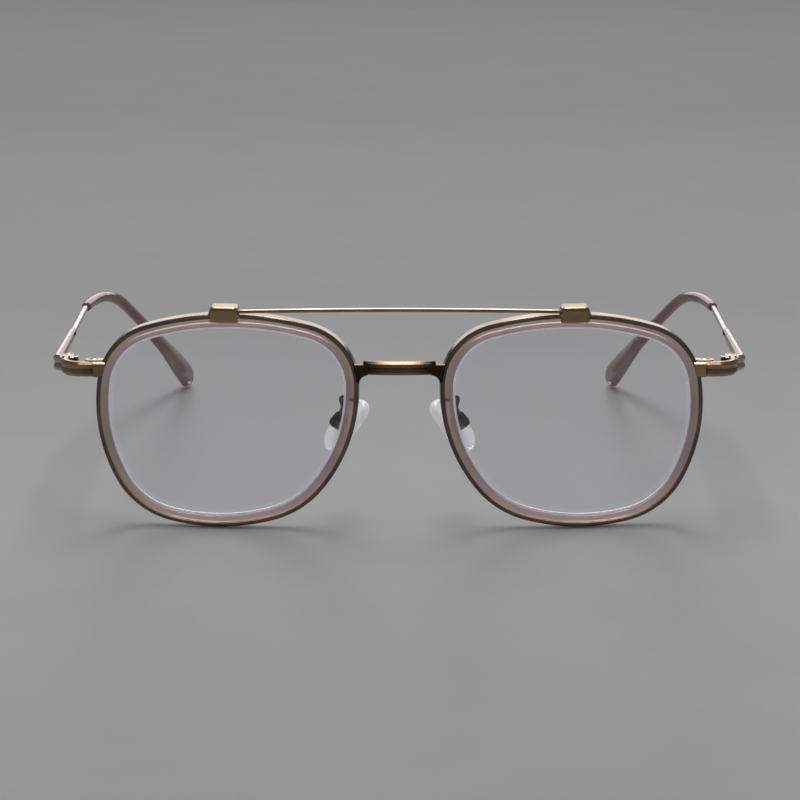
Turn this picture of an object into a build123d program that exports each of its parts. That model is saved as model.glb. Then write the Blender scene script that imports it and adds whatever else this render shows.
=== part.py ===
from build123d import *
import os
from math import asin, cos, degrees, radians, sin, sqrt

# Driving dimensions, in millimetres and degrees
# Built with the wearer's left side at +X, the front facing -Y and the floor at zero height

# Rim outline, shared by the metal rim, the inner ring and the lens
rim_width = 52.6
rim_height = 44.5
rim_spacing = 71.2
tilt_angle = 6.0
wrap_angle = 4.0
front_curve_radius = 130.0
corner_shares = ((-0.544, -0.837), (0.709, -0.866), (0.889, 0.739), (-0.941, 0.774))
bulge_shares = (0.148, 0.225, 0.243, 0.253)
corner_radius_shares = (0.855, 0.70, 0.633, 0.573)
arc_point_shares = (0, 0.5, 1)

# Metal rim, a band with a groove for the inner ring
metal_width = 0.85
metal_depth = 2.6
rim_groove_depth = 0.35
rim_groove_width = 1.0
rim_slit = 0.2

# Inner ring, its tongue in the rim's groove and its own groove for the lens
ring_width = 1.7
ring_recess = 0.12
lens_groove_depth = 0.6
fit_gap = 0.03

# Lens, a curved sheet whose rear flange sits in the ring's groove
lens_setback = 0.55
lens_step_height = 0.5
lens_step_width = 0.45
lens_flange_thickness = 1.1

# Bridge between the rims, with a foot on each
bridge_height = 2.8
bridge_depth = 1.7
bridge_rise_share = 0.27
bridge_bow = 0.83
bridge_proud = 1.25
bar_end_length = 1.9
foot_length = 0.95
foot_step = 0.65
foot_drop = 1.75
foot_depth = 1.45
foot_setback = 0.35

# Two-ridged bar, the section of the bridge, the end pieces and the temples
ridge_round_share = 0.34
ridge_neck_share = 0.62
corner_turns = (0, 90)
wire_sides = 10

# Brow bar and its blocks on top of the rims
bar_diameter = 0.9
bar_rise = 0.5
bar_bow = 0.6
bar_height_on_rim = 0.5
bar_setback = 1.0
bar_socket_depth = 1.4
block_width = 6.1
block_height = 1.6
block_depth = 3.7
block_overhang = 0.75
block_offset = 0.15
block_taper = 0.25
block_cut = 0.45
block_lip = 1.65
block_foot_length = 0.45
block_foot_depth = 2.4

# End piece, from the rim round to the hinge
end_height = 3.1
end_thickness = 1.7
end_rise_share = 0.245
end_forward = 0.37
end_overhang = 7.28
end_run = 6.45
end_corner_radius = 3.5
end_sweep_back = 0.35
weld_width = 2.4
weld_proud = 0.3
weld_cut = 0.3

# Closing block either side of the rim's slit, and its screw
lock_width = 3.9
lock_depth = 2.6
lock_cut = 0.75
lock_proud = 0.15
lock_offset = 0.98
lock_screw_offset = 1.28
lock_screw_diameter = 1.2
lock_head_diameter = 1.8
lock_head_height = 0.55

# Hinge between the end piece and the temple
pin_inset = 0.15
pin_setback = 2.2
knuckle_radius = 1.2
knuckle_gap = 0.05
hinge_screw_diameter = 1.1
hinge_head_diameter = 1.7
hinge_head_height = 0.45
pin_clearance = 0.03
leaf_base_length = 0.8
leaf_tail_length = 2.6
leaf_tail_width = 0.75
leaf_lug_width = 1.6
leaf_notch_radius = 0.48
leaf_neck_share = 0.8
leaf_plate_length = 4.2
leaf_plate_thickness = 0.6
leaf_heel_gap = 0.04
slot_width = 0.3
slot_depth = 0.25

# Temple, a ridged strip that runs into a wire, its lengths behind the hinge pin
temple_height = 3.3
temple_thickness = 1.65
temple_face_gap = 0.2
temple_corner_radius = 0.9
temple_front_gap = 0.15
temple_splay = 1.1
strip_start = 1.4
strip_end = 30.9
strip_end_height = 1.8
strip_end_thickness = 1.3
strip_nose_length = 4.0
strip_nose_share = 0.8
wire_diameter = 1.35
turn_length = 65.4
turn_radius = 26.0
bend_length = 82.1
bend_inward = 2.8
bend_radius = 34.0
tip_length = 129.5
tip_inward = 16.3

# Temple tip, a sleeve that widens into a leaning paddle
tip_start_diameter = 2.35
tip_bend_diameter = 2.65
paddle_width = 6.8
paddle_thickness = 2.8
paddle_lean = 28.0
paddle_arch = 1.1
arch_share = 0.62
tip_lead = 1.6
tip_slim_share = 0.33
core_end_share = 0.86
core_clearance = 0.02
tip_growth_start_share = 0.55
tip_sides = 14
tip_stations = 11
tip_end_shares = (0.5, 0.8, 0.97)

# Nose pad, its core, box, screw and arm
pad_length = 12.8
pad_width = 7.2
pad_top_width = 5.0
pad_thickness = 2.3
pad_edge_cut = 0.6
pad_frontal_angle = 40.0
pad_splay_angle = 32.0
pad_offset = 2.6
pad_setback = 10.45
pad_drop = 1.9
core_plate_length = 6.0
core_plate_width = 3.2
core_plate_thickness = 0.7
core_sink = 0.55
stem_length = 1.1
stem_width = 1.15
box_length = 3.3
box_width = 2.6
box_depth = 1.9
box_wall = 0.6
box_floor = 0.5
box_gap = 0.55
box_cut = 0.6
pad_screw_diameter = 0.7
pad_head_diameter = 1.1
pad_head_height = 0.3
pad_slot_width = 0.2
arm_diameter = 0.95
arm_root = (-0.54, -0.15, 4.1)
arm_lift = (-0.14, 1.9, 4.5)
arm_apex = (3.16, 3.1, 5.0)
arm_knee = (2.5, 4.1, 2.5)
arm_bend_radius = 0.8

# Cutting solids reach past what they cut by this much
overrun = 1.0


def base_outline():
    """Outline between the metal rim and the inner ring, a chain of tangent arcs."""
    half_w = rim_width / 2
    half_h = rim_height / 2
    corners = [(half_w * across, half_h * up) for across, up in corner_shares]
    ends = corners[1:] + corners[:1]
    sides = [SagittaArc(a, b, -half_h * share) for a, b, share in zip(corners, ends, bulge_shares)]
    face = make_face(Curve() + sides)
    for corner, share in zip(corners, corner_radius_shares):
        vertex = face.vertices().sort_by_distance(corner)[0]
        face = fillet(vertex, half_h * share)
    return face.wire().order_edges()


rim_arcs = base_outline()


def outline(grow):
    """Outline of a rim as a face, every arc grown outward by the given amount."""
    arcs = []
    for arc in rim_arcs:
        middle = arc.arc_center
        stretch = (arc.radius + grow) / arc.radius
        places = [middle + (arc.position_at(share) - middle) * stretch for share in arc_point_shares]
        arcs.append(ThreePointArc(*places))
    return make_face(Curve() + arcs)


def ball(depth):
    """Solid inside the front curve, sunk by the given depth."""
    return Pos(0, 0, -front_curve_radius) * Rot(90, 0, 0) * Sphere(front_curve_radius - depth)


def curved_plate(face, front, back):
    """Plate of the given outline between two depths under the front curve."""
    sag = rim_width / 4
    blank = Pos(0, 0, overrun) * extrude(face, amount=-(overrun + sag + back))
    return (blank & ball(front)) - ball(back)


def corner_points(across, up, radius, start):
    """Points of a softened corner about a middle, turning left from the start angle."""
    angles = [radians(start + turn) for turn in corner_turns]
    return [(across + radius * cos(angle), up + radius * sin(angle)) for angle in angles]


def ridged_section(height, depth):
    """Section of two stacked ridges, its depth along X and its height along Y."""
    ridge = height / 2
    radius = ridge * ridge_round_share
    across = depth / 2 - radius
    neck = depth * ridge_neck_share / 2
    points = corner_points(across, ridge - radius, radius, 0)
    points += corner_points(-across, ridge - radius, radius, 90)
    points += corner_points(-across, radius, radius, 180)[:-1] + [(-neck, 0)]
    points += corner_points(-across, -radius, radius, 90)[1:]
    points += corner_points(-across, radius - ridge, radius, 180)
    points += corner_points(across, radius - ridge, radius, 270)
    points += corner_points(across, -radius, radius, 0)[:-1] + [(neck, 0)]
    points += corner_points(across, radius, radius, 270)[1:]
    return make_face(Polyline(*points, close=True))


def wire_along(path, diameter):
    """Round wire along a path, its section a many-sided polygon."""
    section = RegularPolygon(diameter / 2, wire_sides)
    return sweep(Plane(origin=path @ 0, z_dir=path % 0) * section, path=path)


def across_path(point, heading, sketch):
    """Set a sketch square to a level heading, its X level and its Y upward."""
    level = Vector(-heading.Y, heading.X, 0)
    return Plane(origin=point, x_dir=level, z_dir=heading) * sketch


def slotted_screw(shank, head, length, head_height):
    """Screw standing on its shank's end, its slotted head at the top."""
    screw = Pos(0, 0, length / 2) * Cylinder(shank / 2, length)
    cap = Pos(0, 0, length + head_height / 2) * Cylinder(head / 2, head_height)
    screw += chamfer(cap.edges().group_by(Axis.Z)[-1], head_height / 4)
    slot = Pos(0, 0, length + head_height - slot_depth / 2 + overrun / 2)
    return screw - slot * Box(head + overrun, slot_width, slot_depth + overrun)


# Places on the front, in a rim's own flat frame: X to the temple, Y up, Z to the front
turn = Rot(tilt_angle, 0, 0) * Rot(0, 0, wrap_angle) * Rot(90, 0, 0)
metal_band = curved_plate(outline(metal_width) - outline(0), 0, metal_depth)
rim_z = -(turn * metal_band).bounding_box().min.Z
place = Pos(rim_spacing / 2, 0, rim_z) * turn
rim_envelope = place * curved_plate(outline(metal_width), 0, rim_width)
end_rise = rim_height * end_rise_share
bridge_rise = rim_height * bridge_rise_share
end_z = rim_z + end_rise
end_top_z = end_z + end_height / 2
end_bottom_z = end_z - end_height / 2


def rim_spot(across, up):
    """Point on a rim's front curve."""
    sag = front_curve_radius - sqrt(front_curve_radius**2 - across**2 - up**2)
    return (place * Pos(across, up, -sag)).position


# Places that follow the rim's edges at the temple and at the nose
side_spot = rim_spot(rim_width / 2, end_rise)
nose_spot = rim_spot(-rim_width / 2, bridge_rise)
end_front_y = side_spot.Y - end_forward
end_rear_y = end_front_y + end_run
end_side_x = side_spot.X + end_overhang
lock_x = side_spot.X + lock_offset
lock_screw_x = side_spot.X + lock_screw_offset
pin_x = end_side_x - pin_inset
pin_y = end_rear_y + pin_setback
bridge_front_y = nose_spot.Y - bridge_proud


def make_rim():
    """Metal rim with its groove and the slit at the closing block."""
    middle = metal_depth / 2
    half = rim_groove_width / 2
    rim = metal_band - curved_plate(outline(rim_groove_depth) - outline(0), middle - half, middle + half)
    slit = Pos(rim_spacing / 2 + rim_width / 2, 0, end_z) * Box(rim_width / 4, rim_width, rim_slit)
    return place * rim - slit


def make_inner_ring():
    """Acetate ring with a tongue outside and the lens groove inside."""
    middle = metal_depth / 2
    half = rim_groove_width / 2 - fit_gap
    bore = outline(-ring_width)
    body = curved_plate(outline(-fit_gap) - bore, ring_recess, metal_depth - ring_recess)
    tongue = outline(rim_groove_depth - fit_gap) - outline(-ring_width / 2)
    body += curved_plate(tongue, middle - half, middle + half)
    front = lens_setback + lens_step_height - fit_gap
    back = front + lens_flange_thickness + 2 * fit_gap
    groove = outline(lens_groove_depth - ring_width) - outline(-ring_width - overrun)
    return place * (body - curved_plate(groove, front, back))


def make_lens():
    """Lens with its flange in the inner ring's groove."""
    front = lens_setback + lens_step_height
    back = front + lens_flange_thickness
    flange = curved_plate(outline(lens_groove_depth - ring_width - fit_gap), front, back)
    face = curved_plate(outline(-ring_width - lens_step_width), lens_setback, back - fit_gap)
    return place * (flange + face)


def make_bridge():
    """Ridged bar bowed forward, with a flared foot on each rim."""
    middle_y = bridge_front_y + bridge_depth / 2
    bar_z = rim_z + bridge_rise
    top = bar_z + bridge_height / 2 - foot_step
    low = bar_z - bridge_height / 2
    reach = nose_spot.X + 2 * metal_width
    start = Plane(origin=(0, middle_y, bar_z), x_dir=(0, 1, 0), z_dir=(1, 0, 0))
    span = nose_spot.X - bar_end_length
    bow_radius = (span * span + bridge_bow * bridge_bow) / (2 * bridge_bow)
    axis = Axis((0, middle_y + bow_radius, 0), (0, 0, 1))
    swing = degrees(asin(span / bow_radius))
    side = revolve(start * ridged_section(bridge_height, bridge_depth), axis, swing)
    foot_x = nose_spot.X - foot_length
    inner_x = foot_x - foot_drop
    foot = Pos((inner_x + reach) / 2, (low + top) / 2) * Rectangle(reach - inner_x, top - low)
    foot += Pos((foot_x + reach) / 2, low - foot_drop / 2) * Rectangle(reach - foot_x, foot_drop)
    flare = Pos((inner_x + foot_x) / 2, low - foot_drop / 2) * Rectangle(foot_drop, foot_drop)
    foot += flare - Pos(inner_x, low - foot_drop) * Circle(foot_drop)
    rear_y = bridge_front_y + foot_setback + foot_depth
    side += Pos(0, rear_y, 0) * extrude(Plane.XZ * foot, amount=foot_depth)
    side -= place * Pos(0, 0, -rim_width) * extrude(outline(metal_width), amount=2 * rim_width)
    return side + mirror(side, about=Plane.YZ)


def bar_path(inset):
    """Middle line of the brow bar, its ends the given length inside the blocks."""
    end_across = block_offset - block_width / 2 + inset
    top = rim_height / 2 + metal_width
    back = top * top / (2 * front_curve_radius) + bar_setback - block_overhang
    end = (place * Pos(end_across, top + bar_height_on_rim, -back)).position
    crest = Vector(0, end.Y - bar_bow, end.Z + bar_rise)
    return ThreePointArc((-end.X, end.Y, end.Z), crest, end)


def make_brow_block():
    """Block that caps the rim's top and holds the end of the brow bar, its edges cut back."""
    top = rim_height / 2 + metal_width
    sag = top * top / (2 * front_curve_radius)
    half = block_width / 2
    shape = Polyline(
        (-half, top - block_lip),
        (half, top - block_lip),
        (half - block_taper, top + block_height),
        (-half + block_taper, top + block_height),
        close=True,
    )
    body = extrude(make_face(shape), amount=-block_depth)
    low_edges = body.edges().group_by(Axis.Y)[0]
    body = chamfer([edge for edge in body.edges() if edge not in low_edges], block_cut)
    wing = Polyline(
        (-half - block_foot_length, top - metal_width),
        (half + block_foot_length, top - metal_width),
        (half, top + block_foot_length),
        (-half, top + block_foot_length),
        close=True,
    )
    inset = (block_depth - block_foot_depth) / 2
    feet = Pos(0, 0, -inset) * extrude(make_face(wing), amount=-block_foot_depth)
    block = place * Pos(block_offset, 0, block_overhang - sag) * (body + feet)
    return block - rim_envelope - wire_along(bar_path(bar_socket_depth), bar_diameter + 2 * fit_gap)


def end_path():
    """Middle line of the end piece, from the rim to the hinge."""
    start = (side_spot.X - metal_width, end_front_y + end_thickness / 2, end_z)
    turn_point = (end_side_x, start[1] + end_sweep_back, end_z)
    return FilletPolyline(start, turn_point, (end_side_x, end_rear_y, end_z), radius=end_corner_radius)


def make_end_piece():
    """Ridged bar welded to the rim's front, curving back to the hinge."""
    path = end_path()
    bar = sweep(across_path(path @ 0, path % 0, ridged_section(end_height, end_thickness)), path=path)
    weld_y = end_front_y - weld_proud
    weld_depth = end_thickness + weld_proud
    weld = Box(weld_width, weld_depth, end_height)
    weld = chamfer(weld.edges().filter_by(Axis.X), weld_cut)
    bar += Pos((path @ 0).X + weld_width / 2 - metal_width / 2, weld_y + weld_depth / 2, end_z) * weld
    bar -= rim_envelope
    return bar - place * Pos(0, 0, -rim_width) * extrude(outline(0), amount=2 * rim_width)


def lock_half(low, high):
    """Closing block half between two heights, cut to the rim and the end piece."""
    middle_y = end_front_y + end_thickness + lock_depth / 2 - end_sweep_back
    plan = Rectangle(lock_width, lock_depth)
    plan = chamfer(plan.vertices(), lock_cut)
    block = extrude(Pos(lock_x, middle_y, low) * plan, amount=high - low)
    return block - rim_envelope


def lock_screw_place():
    """Foot of the closing screw."""
    screw_y = end_front_y + end_thickness + lock_depth / 2
    return Pos(lock_screw_x, screw_y, end_bottom_z)


def make_lock_screw():
    """Closing screw, head up."""
    length = end_height + lock_proud - lock_head_height
    return lock_screw_place() * slotted_screw(
        lock_screw_diameter, lock_head_diameter, length, lock_head_height
    )


def make_lock_blocks(end_piece):
    """Upper and lower halves of the closing block."""
    bore = Cylinder(lock_screw_diameter / 2 + fit_gap, 3 * end_height)
    upper = lock_half(end_z + rim_slit / 2, end_top_z + lock_proud)
    lower = lock_half(end_bottom_z, end_z - rim_slit / 2)
    seat = Cylinder(lock_head_diameter / 2 + fit_gap, 2 * lock_head_height)
    upper -= Pos(lock_screw_x, lock_screw_place().position.Y, end_top_z + lock_proud) * seat
    halves = []
    for half in (upper, lower):
        half -= lock_screw_place() * bore
        half -= end_piece
        halves.append(half)
    return halves


def knuckle_heights():
    """Low and high ends of the three knuckles, bottom first."""
    tall = (end_height - 2 * knuckle_gap) / 3
    lows = [end_bottom_z + step * (tall + knuckle_gap) for step in range(3)]
    return [(low, low + tall) for low in lows]


def make_front_leaf():
    """Hinge leaf on the end piece: a base, a tail, a lug and two knuckles."""
    base_end = end_rear_y + leaf_base_length
    left = pin_x - knuckle_radius
    outer = end_side_x + end_thickness / 2
    inner = end_side_x - end_thickness / 2
    plan = Sketch() + Pos((left + outer) / 2, (end_rear_y + base_end) / 2) * Rectangle(
        outer - left, leaf_base_length
    )
    tail_y = base_end - leaf_tail_length
    plan += Pos(inner - leaf_tail_width / 2, (tail_y + base_end) / 2) * Rectangle(
        leaf_tail_width, leaf_tail_length
    )
    lug = Pos(inner - leaf_lug_width / 2, base_end - leaf_base_length)
    plan += lug * Rectangle(leaf_lug_width, 2 * leaf_base_length)
    plan -= Pos(inner - leaf_lug_width / 2, base_end) * Circle(leaf_notch_radius)
    leaf = Pos(0, 0, end_bottom_z) * extrude(plan, amount=end_height)
    knuckle = Sketch() + Pos(pin_x, pin_y) * Circle(knuckle_radius)
    neck_right = pin_x + knuckle_radius * leaf_neck_share
    knuckle += Pos((left + neck_right) / 2, (end_rear_y + pin_y) / 2) * Rectangle(
        neck_right - left, pin_y - end_rear_y
    )
    for low, high in (knuckle_heights()[0], knuckle_heights()[2]):
        leaf += Pos(0, 0, low) * extrude(knuckle, amount=high - low)
    bore = Cylinder(hinge_screw_diameter / 2 + fit_gap, 3 * end_height)
    seat = Cylinder(hinge_head_diameter / 2 + fit_gap, 2 * hinge_head_height)
    leaf -= Pos(pin_x, pin_y, end_z) * bore
    leaf -= Pos(pin_x, pin_y, end_top_z) * seat
    return leaf


def make_hinge_screw():
    """Hinge screw, head up, sunk in the top knuckle."""
    length = end_height - hinge_head_height
    screw = slotted_screw(hinge_screw_diameter, hinge_head_diameter, length, hinge_head_height)
    return Pos(pin_x, pin_y, end_bottom_z) * screw


# Line of the temple, level with the end piece
temple_x = pin_x + knuckle_radius + temple_face_gap + temple_thickness / 2
temple_front_y = end_rear_y + temple_front_gap


def temple_line(y):
    """Middle of the temple at a given distance back."""
    share = (y - temple_front_y) / (pin_y + turn_length - temple_front_y)
    return Vector(temple_x + temple_splay * share, y, end_z)


def tip_end():
    """Middle of the paddle's round end, its lowest edge on the floor."""
    lean = radians(paddle_lean)
    drop = sqrt((paddle_width * cos(lean)) ** 2 + (paddle_thickness * sin(lean)) ** 2) / 2
    return Vector(temple_x - tip_inward, pin_y + tip_length, drop)


def wire_path(start_y, end_share):
    """Middle line of the temple's wire, through the tip."""
    bend = Vector(temple_x - bend_inward, pin_y + bend_length, end_z)
    leg = tip_end() - bend
    crest = bend + leg * arch_share + Vector(0, 0, paddle_arch)
    points = [temple_line(start_y), temple_line(pin_y + turn_length), bend, crest]
    points.append(crest + (tip_end() - crest) * end_share)
    return FilletPolyline(*points, radius=(turn_radius, bend_radius, bend_radius))


def make_temple():
    """Ridged strip with a turned-in front end, running into a wire."""
    corner = temple_line(temple_front_y + temple_thickness / 2)
    start = corner - Vector(temple_corner_radius + fit_gap, 0, 0)
    near = temple_line(pin_y + strip_start)
    front = FilletPolyline(start, corner, near, radius=temple_corner_radius)
    section = ridged_section(temple_height, temple_thickness)
    temple = sweep(across_path(front @ 0, front % 0, section), path=front)
    near_face = temple.faces().sort_by(Axis.Y)[-1]
    far = temple_line(pin_y + strip_end)
    heading = front % 1
    thin = ridged_section(strip_end_height, strip_end_thickness)
    temple += loft([near_face, across_path(far, heading, thin).faces()[0]], ruled=True)
    nose = Cone(strip_end_height / 2, wire_diameter * strip_nose_share / 2, strip_nose_length)
    nose = Plane(origin=far + heading * (strip_nose_length / 2 - overrun), z_dir=heading) * nose
    temple += nose
    return temple + wire_along(wire_path(far.Y, core_end_share), wire_diameter)


def make_temple_leaf(temple):
    """Hinge leaf on the temple: one knuckle, a stop heel and a plate."""
    low, high = knuckle_heights()[1]
    face_x = temple_x - temple_thickness / 2
    outer = face_x + temple_thickness / 2
    heel_y = end_rear_y + leaf_base_length + leaf_heel_gap
    plan = Sketch() + Pos(pin_x, pin_y) * Circle(knuckle_radius)
    plan += Pos((pin_x + outer) / 2, (heel_y + pin_y) / 2) * Rectangle(outer - pin_x, pin_y - heel_y)
    rear_y = pin_y + knuckle_radius
    plan += Pos((pin_x + outer) / 2, (pin_y + rear_y) / 2) * Rectangle(outer - pin_x, knuckle_radius)
    leaf = Pos(0, 0, low) * extrude(plan, amount=high - low)
    plate_x = face_x - leaf_plate_thickness
    plate = Box(outer - plate_x, leaf_plate_length, high - low)
    plate = Pos((plate_x + outer) / 2, rear_y + leaf_plate_length / 2, (low + high) / 2) * plate
    leaf += plate
    leaf -= Pos(pin_x, pin_y, end_z) * Cylinder(hinge_screw_diameter / 2 + pin_clearance, 3 * end_height)
    return leaf - temple


def tip_section(point, heading, wide, thick, lean):
    """Oval section square to the tip's path, leaning over about it."""
    level = Vector(heading.Y, -heading.X, 0).normalized().rotate(Axis((0, 0, 0), heading), lean)
    turns = [radians(360 * step / tip_sides) for step in range(tip_sides)]
    points = [(thick * cos(turn) / 2, wide * sin(turn) / 2) for turn in turns]
    oval = make_face(Polyline(*points, close=True))
    return (Plane(origin=point, x_dir=level, z_dir=heading) * oval).faces()[0]


def tip_growth(share):
    """How far the sleeve has widened at a share of the way to the paddle's middle."""
    rise = max(0, (share - tip_growth_start_share) / (1 - tip_growth_start_share))
    return rise * rise * (3 - 2 * rise)


def make_tip():
    """Sleeve over the temple's wire that widens into a round-ended paddle."""
    start_y = pin_y + turn_length - turn_radius / 4
    path = wire_path(start_y, 1)
    fall = path.tangent_at(1)
    faces = []
    for step in range(tip_stations + 1):
        share = (tip_lead + (path.length - tip_lead) * step / tip_stations) / path.length
        growth = tip_growth(share)
        slim = tip_start_diameter + (tip_bend_diameter - tip_start_diameter) * min(1, share / tip_slim_share)
        wide = slim + (paddle_width - slim) * growth
        thick = slim + (paddle_thickness - slim) * growth
        spot = path.position_at(share)
        faces.append(tip_section(spot, path.tangent_at(share), wide, thick, paddle_lean * growth))
    for share in tip_end_shares:
        shrink = sqrt(1 - share * share)
        spot = tip_end() + fall * (paddle_width / 2 * share)
        thick = paddle_thickness * sqrt(shrink)
        faces.append(tip_section(spot, fall, paddle_width * shrink, thick, paddle_lean))
    bore = wire_along(wire_path(start_y, core_end_share), wire_diameter + 2 * core_clearance)
    return loft(faces, ruled=True) - bore


def pad_plane():
    """Frame of a nose pad: X to the front edge, Y to the upper end, Z to the nose."""
    front = radians(pad_frontal_angle)
    splay = radians(pad_splay_angle)
    upward = Vector(-sin(front), 0, cos(front))
    inward = Vector(-cos(front) * cos(splay), sin(splay), -sin(front) * cos(splay))
    middle = (nose_spot.X + pad_offset, nose_spot.Y + pad_setback, rim_z - pad_drop)
    return Plane(origin=middle, x_dir=upward.cross(inward), z_dir=inward)


def pad_axis_depth():
    """Depth of the pad screw behind the pad."""
    return -(box_gap + (box_depth - box_floor) / 2 + fit_gap)


def make_pad_core():
    """Plate inside the pad, with the stem that the screw goes through."""
    plate = extrude(Ellipse(core_plate_width / 2, core_plate_length / 2), amount=core_plate_thickness)
    core = Pos(0, 0, core_sink) * plate
    depth = pad_axis_depth()
    stem = Pos(0, 0, (core_sink + depth) / 2) * Box(stem_width, stem_length, core_sink - depth)
    core += stem
    core += Pos(0, 0, depth) * Rot(0, 90, 0) * Cylinder(stem_length / 2, stem_width)
    bore = Cylinder(pad_screw_diameter / 2 + pin_clearance, 2 * box_width)
    core -= Pos(0, 0, depth) * Rot(0, 90, 0) * bore
    return core


def make_pad(core):
    """Soft teardrop pad moulded round its core."""
    low_radius = pad_width / 2
    high_radius = pad_top_width / 2
    low = Pos(0, low_radius - pad_length / 2) * Circle(low_radius)
    high = Pos(0, pad_length / 2 - high_radius) * Circle(high_radius)
    drop = make_hull([*low.edges(), *high.edges()])
    body = extrude(drop, amount=pad_thickness)
    level = [edge for edge in body.edges() if edge.bounding_box().size.Z < fit_gap]
    return chamfer(level, pad_edge_cut) - core


def make_pad_box():
    """Open box that holds the stem between its walls."""
    shell = chamfer(Box(box_width, box_length, box_depth).edges().filter_by(Axis.Z), box_cut)
    pocket_depth = box_depth - box_floor
    pocket = Box(box_width - 2 * box_wall, box_length - 2 * box_wall, pocket_depth + overrun)
    shell -= Pos(0, 0, box_floor - box_depth / 2 + (pocket_depth + overrun) / 2) * pocket
    shell = Pos(0, 0, -box_gap - box_depth / 2) * shell
    turned = Pos(0, 0, pad_axis_depth()) * Rot(0, 90, 0)
    shell -= turned * Cylinder(pad_screw_diameter / 2 + fit_gap, 2 * box_width)
    seat = Cylinder(pad_head_diameter / 2 + fit_gap, 2 * pad_head_height)
    return shell - turned * Pos(0, 0, box_width / 2) * seat


def make_pad_screw():
    """Pad screw, its head in the box's front wall."""
    length = box_width - pad_head_height
    shank = Pos(0, 0, length / 2) * Cylinder(pad_screw_diameter / 2, length)
    head = Pos(0, 0, length + pad_head_height / 2) * Cylinder(pad_head_diameter / 2, pad_head_height)
    slot = Pos(0, 0, box_width) * Box(pad_head_diameter + overrun, pad_slot_width, pad_head_height)
    return Pos(0, 0, pad_axis_depth()) * Rot(0, 90, 0) * Pos(0, 0, -box_width / 2) * (shank + head - slot)


def make_pad_arm():
    """Bent wire from the back of the rim to the back of the pad box."""
    frame = pad_plane()
    root = Vector(nose_spot.X, nose_spot.Y + metal_depth, rim_z)
    points = [root + Vector(*offset) for offset in (arm_root, arm_lift, arm_apex, arm_knee)]
    points.append(frame.from_local_coords((0, 0, box_floor - box_gap - box_depth)))
    path = FilletPolyline(*points, radius=arm_bend_radius)
    arm = wire_along(path, arm_diameter)
    box = frame.location * Pos(0, 0, -box_gap - box_depth / 2) * Box(box_width, box_length, box_depth)
    return arm - box - place * curved_plate(outline(metal_width + 2 * arm_diameter), 0, metal_depth)


def other_side(solid):
    """The same piece for the wearer's right side."""
    return mirror(solid, about=Plane.YZ)


def build():
    """Every piece by its node's name."""
    pieces = {}
    rim = make_rim()
    ring = make_inner_ring()
    end_piece = make_end_piece()
    upper_lock, lower_lock = make_lock_blocks(end_piece)
    temple = make_temple()
    pad_core = make_pad_core()
    seat = pad_plane().location
    sides = {
        "rim": rim,
        "inner_ring": ring,
        "lens": make_lens(),
        "brow_block": make_brow_block(),
        "end_piece": end_piece,
        "upper_lock_block": upper_lock,
        "lower_lock_block": lower_lock,
        "lock_screw": make_lock_screw(),
        "front_hinge_leaf": make_front_leaf(),
        "temple_hinge_leaf": make_temple_leaf(temple),
        "hinge_screw": make_hinge_screw(),
        "temple": temple,
        "temple_tip": make_tip(),
        "pad_arm": make_pad_arm(),
        "pad_box": seat * make_pad_box(),
        "pad_screw": seat * make_pad_screw(),
        "pad_core": seat * pad_core,
        "nose_pad": seat * make_pad(pad_core),
    }
    for name, solid in sides.items():
        pieces["left_" + name] = solid
        pieces["right_" + name] = other_side(solid)
    pieces["bridge"] = make_bridge()
    pieces["brow_bar"] = wire_along(bar_path(bar_socket_depth), bar_diameter)
    return pieces


def write_pieces():
    """Write each piece in the shared frame, its origin under the middle of the whole."""
    os.makedirs("parts", exist_ok=True)
    pieces = build()
    nearest = min(solid.bounding_box().min.Y for solid in pieces.values())
    farthest = max(solid.bounding_box().max.Y for solid in pieces.values())
    depth = (nearest + farthest) / 2
    for name, solid in pieces.items():
        placed = Pos(0, -depth, 0) * solid
        export_step(placed, f"parts/{name}.step")
    print("pieces", len(pieces), "shifted back by", round(-depth, 3), "rim centre height", round(rim_z, 3))


write_pieces()
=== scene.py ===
from math import radians

import bmesh
import bpy
from mathutils import Matrix, Vector


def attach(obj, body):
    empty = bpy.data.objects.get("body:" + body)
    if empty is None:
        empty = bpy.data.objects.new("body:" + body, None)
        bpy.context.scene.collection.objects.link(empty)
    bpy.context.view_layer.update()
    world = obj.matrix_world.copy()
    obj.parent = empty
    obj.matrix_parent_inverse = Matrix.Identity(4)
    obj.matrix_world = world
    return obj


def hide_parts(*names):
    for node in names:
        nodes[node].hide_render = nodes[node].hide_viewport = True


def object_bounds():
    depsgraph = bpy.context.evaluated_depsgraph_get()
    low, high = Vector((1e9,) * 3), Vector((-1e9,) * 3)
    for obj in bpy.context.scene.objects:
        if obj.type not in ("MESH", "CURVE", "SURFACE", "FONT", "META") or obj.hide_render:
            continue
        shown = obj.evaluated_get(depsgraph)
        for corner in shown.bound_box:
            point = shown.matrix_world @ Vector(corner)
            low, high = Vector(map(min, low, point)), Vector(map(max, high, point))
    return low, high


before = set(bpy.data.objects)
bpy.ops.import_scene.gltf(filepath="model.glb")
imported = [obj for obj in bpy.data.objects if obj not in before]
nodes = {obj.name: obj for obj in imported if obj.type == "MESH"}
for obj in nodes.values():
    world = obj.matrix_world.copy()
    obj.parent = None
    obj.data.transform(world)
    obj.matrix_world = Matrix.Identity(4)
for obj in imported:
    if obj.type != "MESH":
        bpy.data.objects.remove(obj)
cad_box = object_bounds()

# Camera of the photograph, in metres, degrees and millimetres
CAMERA_PLACE = (0.0, -0.616785, 0.1494)
CAMERA_PITCH = 12.55
CAMERA_LENS = 123.21
CAMERA_SENSOR = 36.0
CAMERA_SHIFT = 0.000625
CAMERA_CLIP = (0.01, 20.0)

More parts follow.
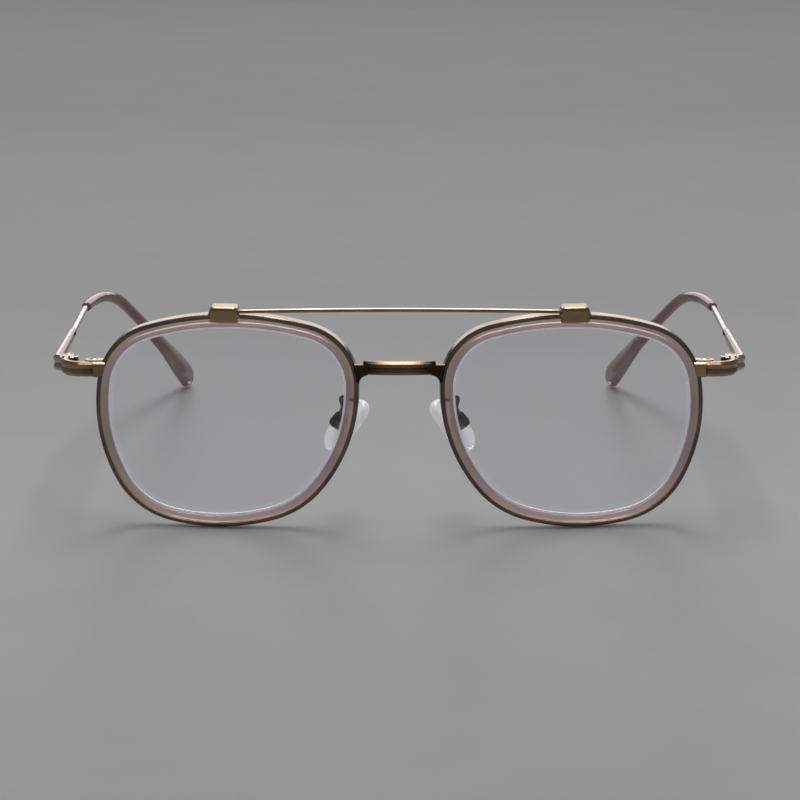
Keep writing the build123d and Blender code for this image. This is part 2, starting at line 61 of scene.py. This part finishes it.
# Soft boxes: name, place and size in metres, turn in degrees, power in watts
LAMPS = (
    ("top_box", (0.0, 0.12, 1.15), (-6.0, 0.0, 0.0), (0.4, 1.15), 11.0),
    ("back_box", (0.0, 1.5, 0.88), (-60.0, 0.0, 0.0), (1.8, 1.5), 12.0),
)
WORLD_COLOR = (0.30, 0.30, 0.305, 1.0)
WORLD_STRENGTH = 0.45

# Floor: half its side, its drop below the part, and its greys at places along Y, in metres
FLOOR_HALF = 3.0
FLOOR_DROP = 0.00002
# The greys are painted light and shade: lighter where the light pools round the glasses, a darker
# strip in front that the metal fronts reflect, darker behind
FLOOR_PAINTED_LIGHT = (
    (-0.4, 0.13), (-0.28, 0.19), (-0.22, 0.28), (-0.05, 0.27), (0.2, 0.18), (0.7, 0.15),
    (1.6, 0.25),
)

# Aged metal: reach of the painted groove shade and width of the worn edges in metres, and shares
# of tones: the dark tone's share for the painted shade, the worn tone's share on the shaded ends
GROOVE_SHADE_REACH = 0.0012
WORN_WIDTH = 0.00016
PAINTED_SHADE_SHARE = 0.22
WORN_SHARE = 0.75

# The tip's paddle: its straight line in metres, its lean in the part, its turn back in
# degrees, its width's share, and the radius of the wire inside, which stays
PADDLE_START = (0.059801, 0.051799, 0.015786)
PADDLE_END = (0.054671, 0.069811, 0.003073)
PADDLE_LEAN = 28.0
PADDLE_TWIST = -36.0
PADDLE_WIDTH_SHARE = 0.905
PADDLE_BORE = 0.0008

# Nodes with all their corners melted round: passes of smoothing over a net, in metres
MELTED = {"brow_block": 14}
MELT_FACTOR = 0.5
NET_SIZE = 0.00014

# Long curved nodes shown subdivided, and how far their triangles are joined first, in degrees
SUBDIVIDED = {"brow_bar": 2, "temple_tip": 1}
PAIR_LIMIT = 60.0

# Edges turned by more than the limit are rounded, in metres and degrees
EDGE_LIMIT = 40.0
SMOOTH_LIMIT = 46.0
FLAT_LIMIT = 1.2
WELD_GAP = 0.000002
ROUNDING = {
    "rim": 0.00012,
    "inner_ring": 0.00018,
    "end_piece": 0.00014,
    "upper_lock_block": 0.00014,
    "lower_lock_block": 0.00014,
    "front_hinge_leaf": 0.00012,
    "temple_hinge_leaf": 0.00012,
    "temple": 0.00014,
    "pad_box": 0.0002,
    "nose_pad": 0.00028,
    "bridge": 0.00014,
}

# Outer edges of the rims, rounded wider, and how far a face points outward or forward there
OUTER_ROUNDING = {"rim": 0.0004}
OUTER_STEPS = 4
OUTWARD = 0.5
FORWARD = 0.3

# Nodes on the moving bodies; all the others are on the front
BODY_ENDINGS = {
    "temple_arm": ("temple", "temple_tip", "temple_hinge_leaf"),
    "pad": ("nose_pad", "pad_core"),
}


class Graph:
    """A material and its node tree, with short calls to add nodes."""

    def __init__(self, name):
        self.material = bpy.data.materials.new(name)
        self.material.use_nodes = True
        self.tree = self.material.node_tree
        self.tree.nodes.clear()
        self.output = self.tree.nodes.new("ShaderNodeOutputMaterial")

    def feed(self, node, inputs):
        """Link or set each named or numbered input of a node."""
        for name, value in inputs.items():
            if isinstance(value, bpy.types.NodeSocket):
                self.tree.links.new(value, node.inputs[name])
            else:
                node.inputs[name].default_value = value

    def add(self, kind, inputs=None, **settings):
        node = self.tree.nodes.new("ShaderNode" + kind)
        for name, value in settings.items():
            setattr(node, name, value)
        self.feed(node, inputs or {})
        return node

    def place(self):
        return self.add("TexCoord").outputs["Object"]

    def noise(self, scale, detail):
        cloud = self.add("TexNoise", {"Vector": self.place(), "Scale": scale, "Detail": detail})
        return cloud.outputs["Fac"]

    def ramp(self, factor, stops):
        ramp = self.add("ValToRGB", {"Fac": factor})
        points = ramp.color_ramp.elements
        while len(points) < len(stops):
            points.new(1.0)
        for point, (spot, color) in zip(points, stops):
            point.position = spot
            point.color = (*color, 1.0) if isinstance(color, tuple) else (color,) * 3 + (1.0,)
        return ramp.outputs["Color"]

    def mix(self, factor, first, second, blend="MIX"):
        node = self.add("Mix", data_type="RGBA", blend_type=blend)
        self.feed(node, {0: factor, 6: first, 7: second})
        return node.outputs[2]

    def paint_light_by_height(self, color, stops):
        """Painted light and shade: the colour times a ramp that runs up the part."""
        split = self.add("SeparateXYZ", {"Vector": self.place()})
        level = self.add("MapRange", {"Value": split.outputs["Z"], "From Max": cad_box[1][2]})
        return self.mix(1.0, color, self.ramp(level.outputs["Result"], stops), "MULTIPLY")

    def bump(self, height, strength, distance):
        node = self.add("Bump", {"Height": height, "Strength": strength, "Distance": distance})
        return node.outputs["Normal"]

    def edges(self, radius, low, high):
        """Mask of the sharp edges, from 0 on the faces to 1 on the edges."""
        rounded = self.add("Bevel", {"Radius": radius}, samples=4)
        true = self.add("NewGeometry")
        level = self.add(
            "VectorMath",
            {0: rounded.outputs["Normal"], 1: true.outputs["Normal"]},
            operation="DOT_PRODUCT",
        )
        return self.ramp(level.outputs["Value"], ((low, 1.0), (high, 0.0)))

    def let_light_through(self, shader, shade):
        """Straight way through for shadow rays and for light on its way to matt surfaces."""
        through = self.add("BsdfTransparent", {"Color": (*shade, 1.0)})
        path = self.add("LightPath")
        unseen = self.add(
            "Math",
            {0: path.outputs["Is Shadow Ray"], 1: path.outputs["Is Diffuse Ray"]},
            operation="MAXIMUM",
        )
        both = self.add(
            "MixShader", {0: unseen.outputs["Value"], 1: shader, 2: through.outputs["BSDF"]}
        )
        return both.outputs["Shader"]

    def finish(self, shader):
        self.tree.links.new(shader, self.output.inputs["Surface"])
        return self.material


def metal(name, bright, dark, worn, rough, wear, ends=None, light_by_height=()):
    """Aged metal in two tones, with painted shade in its grooves, worn edges and fine grain.

    With ends, the tone falls to a painted dark over that stretch of distances from the middle:
    painted shade, as if the ends turned away from the lamps.
    With heights, it is weighed by those stops up the part: painted light and shade by height.
    """
    graph = Graph(name)
    tone = graph.ramp(graph.noise(150.0, 3.0), ((0.35, dark), (0.68, bright)))
    # Painted shade: a darker copy of the dark tone, laid on the ends and in the grooves
    painted_shade_tone = (*(part * PAINTED_SHADE_SHARE for part in dark), 1.0)
    # Painted shade on the ends, as if they turned away from the lamps; worn edges there are
    # dimmed too
    if ends:
        split = graph.add("SeparateXYZ", {"Vector": graph.place()})
        off = graph.add("Math", {0: split.outputs["X"]}, operation="ABSOLUTE")
        fall = graph.add(
            "MapRange",
            {"Value": off.outputs["Value"], "From Min": ends[0], "From Max": ends[1]},
            interpolation_type="SMOOTHSTEP",
        )
        tone = graph.mix(fall.outputs["Result"], tone, painted_shade_tone)
        worn = tuple(part * WORN_SHARE for part in worn)
    if light_by_height:
        tone = graph.paint_light_by_height(tone, light_by_height)
    # Painted shade in the grooves: darker where the occlusion mask finds hollows
    hollow = graph.add("AmbientOcclusion", {"Distance": GROOVE_SHADE_REACH}, samples=8, only_local=True)
    groove_shade = graph.ramp(hollow.outputs["AO"], ((0.62, 1.0), (0.92, 0.0)))
    tone = graph.mix(groove_shade, tone, painted_shade_tone)
    edge = graph.edges(WORN_WIDTH, 0.80, 0.985)
    strength = graph.add("Math", {0: edge, 1: wear}, operation="MULTIPLY").outputs["Value"]
    color = graph.mix(strength, tone, (*worn, 1.0))
    grain = graph.noise(2600.0, 2.0)
    gloss = graph.ramp(grain, ((0.3, rough * 0.8), (0.7, rough * 1.25)))
    shader = graph.add(
        "BsdfPrincipled",
        {
            "Base Color": color,
            "Metallic": 1.0,
            "Roughness": gloss,
            "Normal": graph.bump(grain, 0.05, 0.00002),
        },
    )
    return graph.finish(shader.outputs["BSDF"])


def see_through(
    name, light, deep, rough, clear, ior, milk, bend=0.02, shade=(0.9, 0.9, 0.9), painted_glow=0.0,
    light_by_height=(),
):
    """Moulded clear or tinted plastic: faint clouds, a slightly uneven skin, a soft shadow.

    Milk is how much light it scatters inside, and glint is a painted glow: emission that stands
    in for light gathered inside. With heights, the colour is weighed by those stops up the part:
    painted light and shade by height.
    """
    graph = Graph(name)
    color = graph.ramp(graph.noise(180.0, 3.0), ((0.3, deep), (0.7, light)))
    if light_by_height:
        color = graph.paint_light_by_height(color, light_by_height)
    skin = graph.noise(420.0, 2.0)
    gloss = graph.ramp(skin, ((0.3, rough * 0.85), (0.7, rough * 1.2)))
    shader = graph.add(
        "BsdfPrincipled",
        {
            "Base Color": color,
            "Roughness": gloss,
            "Transmission Weight": clear,
            "IOR": ior,
            "Subsurface Weight": milk,
            "Subsurface Radius": (1.0, 0.7, 0.6),
            "Subsurface Scale": 0.0015,
            "Emission Color": color,
            # Painted glow: emission in the plastic's own colour
            "Emission Strength": painted_glow,
            "Normal": graph.bump(skin, bend, 0.0002),
        },
    )
    return graph.finish(graph.let_light_through(shader.outputs["BSDF"], shade))


def lens_glass():
    """Coated lens: clear, faintly blue, with hardly any shadow."""
    graph = Graph("lens_glass")
    color = graph.ramp(
        graph.noise(60.0, 1.0), ((0.3, (0.965, 0.965, 0.99)), (0.7, (0.985, 0.98, 1.0)))
    )
    shader = graph.add(
        "BsdfPrincipled",
        {"Base Color": color, "Roughness": 0.0, "Transmission Weight": 1.0, "IOR": 1.5},
    )
    return graph.finish(graph.let_light_through(shader.outputs["BSDF"], (0.95, 0.95, 0.97)))


def lens_edge():
    """Fine ground edge of the lens, pale blue, with a painted glow: emission that stands in for
    light gathered along the edge.
    """
    graph = Graph("lens_edge")
    color = graph.ramp(
        graph.noise(700.0, 2.0), ((0.3, (0.80, 0.80, 0.98)), (0.7, (0.92, 0.91, 1.0)))
    )
    shader = graph.add(
        "BsdfPrincipled",
        {
            "Base Color": color,
            "Roughness": 0.3,
            "Transmission Weight": 0.25,
            "IOR": 1.5,
            # Painted glow: the edge emits light in its own colour
            "Emission Color": color,
            "Emission Strength": 0.22,
        },
    )
    return graph.finish(graph.let_light_through(shader.outputs["BSDF"], (0.85, 0.85, 0.9)))


# Rim: painted light by height, lighter at the top and bottom where it catches the lamps, darker
# on the sides
rim_metal = metal(
    "rim_gunmetal", (0.42, 0.36, 0.33), (0.28, 0.235, 0.215), (0.5, 0.42, 0.38), 0.2, 0.25,
    light_by_height=(
        (0.0, (1.0, 0.72, 0.56)),
        (0.09, (0.75, 0.58, 0.5)),
        (0.2, (0.46, 0.46, 0.45)),
        (0.72, (0.46, 0.45, 0.45)),
        (0.86, (0.95, 0.86, 0.82)),
        (0.95, (1.15, 0.98, 0.92)),
    ),
)
# Bridge: painted shade on both ends, darker away from the middle
bridge_metal = metal(
    "bridge_bronze", (0.31, 0.205, 0.13), (0.26, 0.17, 0.105), (0.50, 0.37, 0.27), 0.24, 0.2,
    ends=(0.0015, 0.0072),
)
bar_metal = metal(
    "bar_bronze", (0.44, 0.32, 0.26), (0.32, 0.22, 0.17), (0.6, 0.46, 0.38), 0.16, 0.3
)
block_metal = metal(
    "block_bronze", (0.50, 0.34, 0.20), (0.34, 0.225, 0.13), (0.8, 0.62, 0.44), 0.2, 0.3
)
end_metal = metal(
    "end_bronze", (0.60, 0.40, 0.26), (0.36, 0.235, 0.15), (0.8, 0.6, 0.44), 0.22, 0.5
)
hinge_metal = metal(
    "hinge_bronze", (0.52, 0.40, 0.32), (0.34, 0.25, 0.20), (0.75, 0.63, 0.53), 0.24, 0.5
)
temple_metal = metal(
    "temple_bronze", (0.70, 0.59, 0.54), (0.54, 0.44, 0.40), (0.85, 0.76, 0.71), 0.22, 0.5
)
pad_metal = metal(
    "pad_bronze", (0.17, 0.12, 0.09), (0.08, 0.055, 0.04), (0.5, 0.38, 0.30), 0.2, 0.45
)
screw_metal = metal(
    "screw_steel", (0.66, 0.60, 0.54), (0.5, 0.45, 0.40), (0.8, 0.74, 0.68), 0.22, 0.4
)
# Ring: painted light by height, lighter at the top and bottom where light comes through, darker
# on the sides; its glint is a faint painted glow
ring_acetate = see_through(
    "ring_acetate", (0.92, 0.74, 0.69), (0.84, 0.66, 0.61), 0.16, 0.72, 1.49, 0.2,
    shade=(0.62, 0.54, 0.53), painted_glow=0.02,
    light_by_height=((0.0, 1.12), (0.12, 0.92), (0.3, 0.68), (0.6, 0.66), (0.78, 0.86), (0.92, 1.12)),
)
tip_acetate = see_through(
    "tip_acetate", (0.56, 0.41, 0.395), (0.46, 0.33, 0.32), 0.1, 0.75, 1.49, 0.2,
    shade=(0.5, 0.4, 0.4),
)
# Pads: their glint is a painted glow that whitens them
pad_silicone = see_through(
    "pad_silicone", (0.97, 0.98, 1.0), (0.93, 0.945, 0.985), 0.08, 0.5, 1.41, 0.9,
    bend=0.1, shade=(0.85, 0.85, 0.88), painted_glow=0.13,
)
core_plastic = see_through(
    "core_plastic", (0.97, 0.975, 1.0), (0.92, 0.93, 0.95), 0.08, 0.92, 1.5, 0.0, bend=0.03
)
lens_material = lens_glass()
edge_material = lens_edge()

FINISHES = {
    "bridge": bridge_metal,
    "brow_bar": bar_metal,
    "rim": rim_metal,
    "inner_ring": ring_acetate,
    "brow_block": block_metal,
    "end_piece": end_metal,
    "upper_lock_block": end_metal,
    "lower_lock_block": end_metal,
    "lock_screw": screw_metal,
    "front_hinge_leaf": hinge_metal,
    "temple_hinge_leaf": hinge_metal,
    "hinge_screw": screw_metal,
    "temple": temple_metal,
    "temple_tip": tip_acetate,
    "pad_arm": pad_metal,
    "pad_box": pad_metal,
    "pad_screw": screw_metal,
    "pad_core": core_plastic,
    "nose_pad": pad_silicone,
}


def split_name(name):
    """A node's side, empty for a middle node, and its name without the side."""
    for side in ("left", "right"):
        if name.startswith(side + "_"):
            return side, name[len(side) + 1:]
    return "", name


def body_of_node(name):
    """The moving body that carries a node."""
    side, ending = split_name(name)
    for body, endings in BODY_ENDINGS.items():
        if side and ending in endings:
            return side + "_" + body
    return "front"


def soften(mesh):
    """Smooth shading over the gentle turns, sharp over the rest."""
    mesh.polygons.foreach_set("use_smooth", [True] * len(mesh.polygons))
    mesh.set_sharp_from_angle(angle=radians(SMOOTH_LIMIT))


def outer_edges(form, edges):
    """Those of the edges that run round the outside of a ring."""
    spots = [vertex.co for vertex in form.verts]
    middle = Vector([(min(co[axis] for co in spots) + max(co[axis] for co in spots)) / 2
                     for axis in range(3)])
    outside = []
    for edge in edges:
        arm = (edge.verts[0].co + edge.verts[1].co) / 2 - middle
        arm.y = 0.0
        arm.normalize()
        outward = [face.normal.dot(arm) for face in edge.link_faces]
        walls = [abs(face.normal.y) < FORWARD and abs(face.normal.dot(arm)) < OUTWARD
                 for face in edge.link_faces]
        if max(outward) > OUTWARD and not any(walls):
            outside.append(edge)
    return outside


def round_off(form, edges, width, steps=2):
    """Round the given edges of a form."""
    bmesh.ops.bevel(
        form, geom=edges, offset=width, offset_type="OFFSET", segments=steps, profile=0.5,
        affect="EDGES", clamp_overlap=True,
    )


def rounded_mesh(node, width, outer_width, even):
    """The node's own form with its flat faces made whole and its edges rounded.

    With even, its triangles are joined in pairs instead, ready to be subdivided.
    """
    form = bmesh.new()
    form.from_mesh(node.data)
    form.transform(node.matrix_world)
    bmesh.ops.remove_doubles(form, verts=form.verts, dist=WELD_GAP)
    if width:
        bmesh.ops.dissolve_limit(
            form, angle_limit=radians(FLAT_LIMIT), verts=form.verts, edges=form.edges,
            use_dissolve_boundaries=False,
        )
    if even:
        bmesh.ops.join_triangles(
            form, faces=form.faces, angle_face_threshold=radians(PAIR_LIMIT),
            angle_shape_threshold=radians(PAIR_LIMIT),
        )
    bmesh.ops.recalc_face_normals(form, faces=form.faces)
    edges = [
        edge for edge in form.edges
        if len(edge.link_faces) == 2 and edge.calc_face_angle() > radians(EDGE_LIMIT)
    ]
    if outer_width:
        outside = outer_edges(form, edges)
        edges = [edge for edge in edges if edge not in outside]
        round_off(form, outside, outer_width, OUTER_STEPS)
        edges = [edge for edge in edges if edge.is_valid]
    if width:
        round_off(form, edges, width)
    mesh = bpy.data.meshes.new(node.name + "_form")
    form.to_mesh(mesh)
    form.free()
    return mesh


def turn_paddle(mesh, side):
    """Turn the tip's paddle back about its own line, more and more from start to end."""
    start = Vector((side * PADDLE_START[0], *PADDLE_START[1:]))
    end = Vector((side * PADDLE_END[0], *PADDLE_END[1:]))
    axis = (end - start).normalized()
    lean = Matrix.Rotation(side * radians(PADDLE_LEAN), 3, axis)
    level = lean @ Vector((axis.y, -axis.x, 0.0)).normalized()
    wide = axis.cross(level)
    for vertex in mesh.vertices:
        along = (vertex.co - start).dot(axis)
        middle = start + axis * along
        arm = vertex.co - middle
        if along > 0 and arm.length > PADDLE_BORE:
            share = min(1.0, along / (end - start).length)
            share = share * share * (3 - 2 * share)
            arm += wide * arm.dot(wide) * (PADDLE_WIDTH_SHARE - 1) * share
            turn = Matrix.Rotation(side * radians(PADDLE_TWIST) * share, 3, axis)
            vertex.co = middle + turn @ arm


def even_out(piece, ending):
    """The modifiers that finish a form, by what kind of node it stands for."""
    if ending in MELTED:
        net = piece.modifiers.new("net", "REMESH")
        net.mode = "VOXEL"
        net.voxel_size = NET_SIZE
        net.use_smooth_shade = True
        melt = piece.modifiers.new("melt", "SMOOTH")
        melt.factor = MELT_FACTOR
        melt.iterations = MELTED[ending]
    elif ending in SUBDIVIDED:
        finer = piece.modifiers.new("even_out", "SUBSURF")
        finer.levels = finer.render_levels = SUBDIVIDED[ending]
    elif ending in ROUNDING:
        flat = piece.modifiers.new("flat_faces", "WEIGHTED_NORMAL")
        flat.weight = 100
        flat.keep_sharp = True


def show_rounded(name):
    """Stand a rounded form in for a node, on the node's own body."""
    side, ending = split_name(name)
    mesh = rounded_mesh(
        nodes[name], ROUNDING.get(ending, 0.0), OUTER_ROUNDING.get(ending, 0.0),
        ending in SUBDIVIDED,
    )
    if ending == "temple_tip":
        turn_paddle(mesh, 1.0 if side == "left" else -1.0)
    soften(mesh)
    mesh.materials.append(FINISHES[ending])
    piece = bpy.data.objects.new(name + "_form", mesh)
    bpy.context.scene.collection.objects.link(piece)
    even_out(piece, ending)
    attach(piece, body_of_node(name))
    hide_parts(name)


def regions_of(form):
    """Faces grouped by the sharp edges between them, the largest area first."""
    left = set(form.faces)
    regions = []
    while left:
        queue = [left.pop()]
        region = []
        while queue:
            face = queue.pop()
            region.append(face)
            for edge in face.edges:
                if len(edge.link_faces) == 2 and edge.calc_face_angle() < radians(EDGE_LIMIT):
                    fresh = left.intersection(edge.link_faces)
                    left -= fresh
                    queue += fresh
        regions.append(region)
    return sorted(regions, key=lambda region: -sum(face.calc_area() for face in region))


def finish_lens(node):
    """Clear glass on the lens's two broad faces, the ground look on its edge."""
    form = bmesh.new()
    form.from_mesh(node.data)
    own = form.faces.layers.int.new("own")
    for face in form.faces:
        face[own] = face.index
    bmesh.ops.remove_doubles(form, verts=form.verts, dist=WELD_GAP)
    broad = {face[own] for region in regions_of(form)[:2] for face in region}
    form.free()
    node.data.materials.clear()
    node.data.materials.append(lens_material)
    node.data.materials.append(edge_material)
    for face in node.data.polygons:
        face.material_index = 0 if face.index in broad else 1


def make_floor():
    """Matt sheet with painted light: lighter where the light pools round the glasses, darker in
    front and further back.
    """
    graph = Graph("floor_grey")
    split = graph.add("SeparateXYZ", {"Vector": graph.place()})
    near, far = FLOOR_PAINTED_LIGHT[0][0], FLOOR_PAINTED_LIGHT[-1][0]
    reach = graph.add(
        "MapRange", {"Value": split.outputs["Y"], "From Min": near, "From Max": far}
    )
    stops = [((y - near) / (far - near), tone) for y, tone in FLOOR_PAINTED_LIGHT]
    mottle = graph.ramp(graph.noise(30.0, 5.0), ((0.3, 0.97), (0.7, 1.03)))
    grain = graph.noise(900.0, 4.0)
    shader = graph.add(
        "BsdfPrincipled",
        {
            "Base Color": graph.mix(
                1.0, graph.ramp(reach.outputs["Result"], stops), mottle, "MULTIPLY"
            ),
            "Roughness": 0.42,
            "Specular IOR Level": 0.08,
            "Normal": graph.bump(grain, 0.08, 0.0004),
        },
    )
    half = FLOOR_HALF
    mesh = bpy.data.meshes.new("floor")
    corners = [(-half, -half, 0), (half, -half, 0), (half, half, 0), (-half, half, 0)]
    mesh.from_pydata(corners, [], [(0, 1, 2, 3)])
    floor = bpy.data.objects.new("floor", mesh)
    bpy.context.scene.collection.objects.link(floor)
    floor.data.materials.append(graph.finish(shader.outputs["BSDF"]))
    floor.location.z = cad_box[0][2] - FLOOR_DROP


def make_lamp(name, place, turn, size, power):
    """Soft box of the given size, facing down its own -Z."""
    lamp = bpy.data.lights.new(name, "AREA")
    lamp.shape = "RECTANGLE"
    lamp.size, lamp.size_y = size
    lamp.energy = power
    holder = bpy.data.objects.new(name, lamp)
    holder.location = place
    holder.rotation_euler = [radians(angle) for angle in turn]
    bpy.context.scene.collection.objects.link(holder)


def make_world():
    """Dim even light from all round."""
    world = bpy.data.worlds.new("studio")
    world.use_nodes = True
    backdrop = world.node_tree.nodes["Background"]
    backdrop.inputs["Color"].default_value = WORLD_COLOR
    backdrop.inputs["Strength"].default_value = WORLD_STRENGTH
    bpy.context.scene.world = world


def make_camera():
    """Camera where the photograph was taken from."""
    optics = bpy.data.cameras.new("camera")
    optics.lens = CAMERA_LENS
    optics.sensor_width = CAMERA_SENSOR
    optics.shift_x = CAMERA_SHIFT
    optics.clip_start, optics.clip_end = CAMERA_CLIP
    camera = bpy.data.objects.new("camera", optics)
    camera.location = CAMERA_PLACE
    camera.rotation_euler = (radians(90.0 - CAMERA_PITCH), 0.0, 0.0)
    bpy.context.scene.collection.objects.link(camera)
    bpy.context.scene.camera = camera


for name, node in nodes.items():
    if split_name(name)[1] == "lens":
        finish_lens(node)
    else:
        show_rounded(name)

make_floor()
for lamp in LAMPS:
    make_lamp(*lamp)
make_world()
make_camera()
bpy.context.scene.view_settings.view_transform = "Standard"
